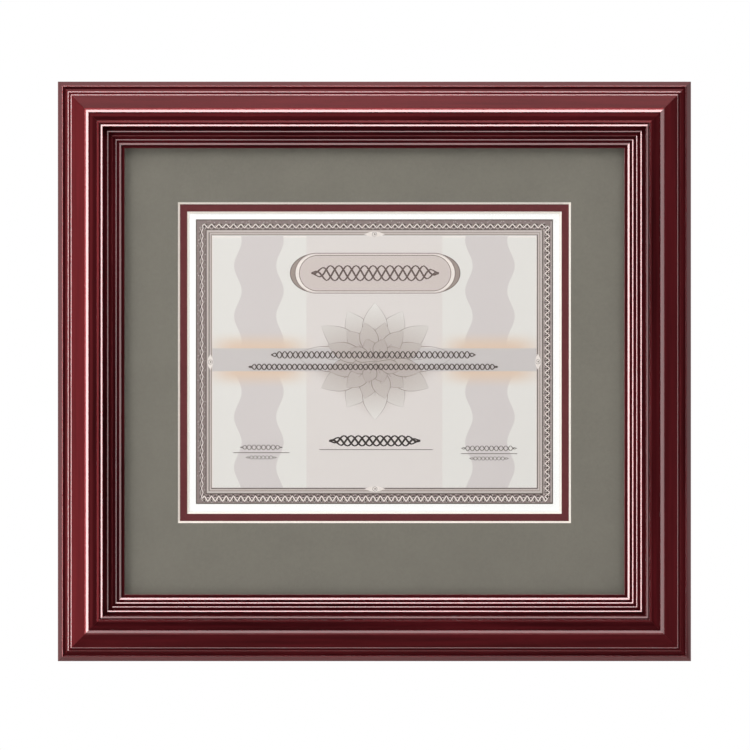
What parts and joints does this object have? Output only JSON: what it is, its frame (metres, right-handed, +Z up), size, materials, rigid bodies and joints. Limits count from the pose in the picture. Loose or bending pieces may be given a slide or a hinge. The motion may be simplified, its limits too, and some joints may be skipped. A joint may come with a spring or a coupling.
{
  "type": "certificate frame",
  "caption": "Glazed certificate frame: mitred stepped hardwood moulding, bevelled mats, turn buttons that hold the back, D-ring hangers and wall bumpers.",
  "frame": {"origin": "the point of the wall plane behind the middle of the frame", "axes": "+X to the right as the viewer sees the front, +Y into the wall, +Z up; the front faces -Y"},
  "size_m": [0.4362, 0.0332, 0.3994],
  "materials": {
    "lacquered_hardwood": "red-brown stain under high-gloss lacquer",
    "clear_glass": "polished float glass",
    "grey_mat_board": "matt, with a cream core at the bevel",
    "burgundy_mat_board": "matt, with a cream core at the bevel",
    "printed_paper": "smooth uncoated, printed",
    "linen_tape": "gummed linen",
    "white_foam_board": "matt paper face on foam",
    "hardboard": "smooth pressed fibre",
    "zinc_plated_steel": "bright zinc plate",
    "nail_steel": "plain spring steel",
    "grey_rubber": "matt moulded"
  },
  "bodies": {
    "frame": {"top_rail": "lacquered_hardwood", "bottom_rail": "lacquered_hardwood", "left_rail": "lacquered_hardwood", "right_rail": "lacquered_hardwood", "mitre_nails": "nail_steel", "glazing": "clear_glass", "upper_mat": "grey_mat_board", "lower_mat": "burgundy_mat_board", "certificate": "printed_paper", "hinge_tapes": "linen_tape", "mount_board": "white_foam_board", "backing_board": "hardboard", "button_screws": "zinc_plated_steel", "hanger_strap_left": "zinc_plated_steel", "hanger_strap_right": "zinc_plated_steel", "hanger_screws": "zinc_plated_steel", "bumper_left": "grey_rubber", "bumper_right": "grey_rubber"},
    "turn_button_top_left": {"turn_button_top_left": "zinc_plated_steel"},
    "turn_button_top_right": {"turn_button_top_right": "zinc_plated_steel"},
    "turn_button_bottom_left": {"turn_button_bottom_left": "zinc_plated_steel"},
    "turn_button_bottom_right": {"turn_button_bottom_right": "zinc_plated_steel"},
    "turn_button_left_upper": {"turn_button_left_upper": "zinc_plated_steel"},
    "turn_button_left_lower": {"turn_button_left_lower": "zinc_plated_steel"},
    "turn_button_right_upper": {"turn_button_right_upper": "zinc_plated_steel"},
    "turn_button_right_lower": {"turn_button_right_lower": "zinc_plated_steel"},
    "hanger_ring_left": {"hanger_ring_left": "zinc_plated_steel"},
    "hanger_ring_right": {"hanger_ring_right": "zinc_plated_steel"}
  },
  "joints": [
    {"name": "turn_button_top_left_turn", "type": "hinge", "parent": "frame", "child": "turn_button_top_left", "pos_m": [-0.1281, -0.0044, 0.169], "axis": [0, 1, 0], "continuous": true},
    {"name": "turn_button_top_right_turn", "type": "hinge", "parent": "frame", "child": "turn_button_top_right", "pos_m": [0.1281, -0.0044, 0.169], "axis": [0, 1, 0], "continuous": true},
    {"name": "turn_button_bottom_left_turn", "type": "hinge", "parent": "frame", "child": "turn_button_bottom_left", "pos_m": [-0.1281, -0.0044, -0.169], "axis": [0, 1, 0], "continuous": true},
    {"name": "turn_button_bottom_right_turn", "type": "hinge", "parent": "frame", "child": "turn_button_bottom_right", "pos_m": [0.1281, -0.0044, -0.169], "axis": [0, 1, 0], "continuous": true},
    {"name": "turn_button_left_upper_turn", "type": "hinge", "parent": "frame", "child": "turn_button_left_upper", "pos_m": [-0.18745, -0.0044, 0.10965], "axis": [0, 1, 0], "continuous": true},
    {"name": "turn_button_left_lower_turn", "type": "hinge", "parent": "frame", "child": "turn_button_left_lower", "pos_m": [-0.18745, -0.0044, -0.10965], "axis": [0, 1, 0], "continuous": true},
    {"name": "turn_button_right_upper_turn", "type": "hinge", "parent": "frame", "child": "turn_button_right_upper", "pos_m": [0.18745, -0.0044, 0.10965], "axis": [0, 1, 0], "continuous": true},
    {"name": "turn_button_right_lower_turn", "type": "hinge", "parent": "frame", "child": "turn_button_right_lower", "pos_m": [0.18745, -0.0044, -0.10965], "axis": [0, 1, 0], "continuous": true},
    {"name": "hanger_ring_left_swing", "type": "hinge", "parent": "frame", "child": "hanger_ring_left", "pos_m": [-0.1981, -0.00292, 0.06065], "axis": [-1, 0, 0], "range_deg": [0, 175]},
    {"name": "hanger_ring_right_swing", "type": "hinge", "parent": "frame", "child": "hanger_ring_right", "pos_m": [0.1981, -0.00292, 0.06065], "axis": [-1, 0, 0], "range_deg": [0, 175]}
  ]
}
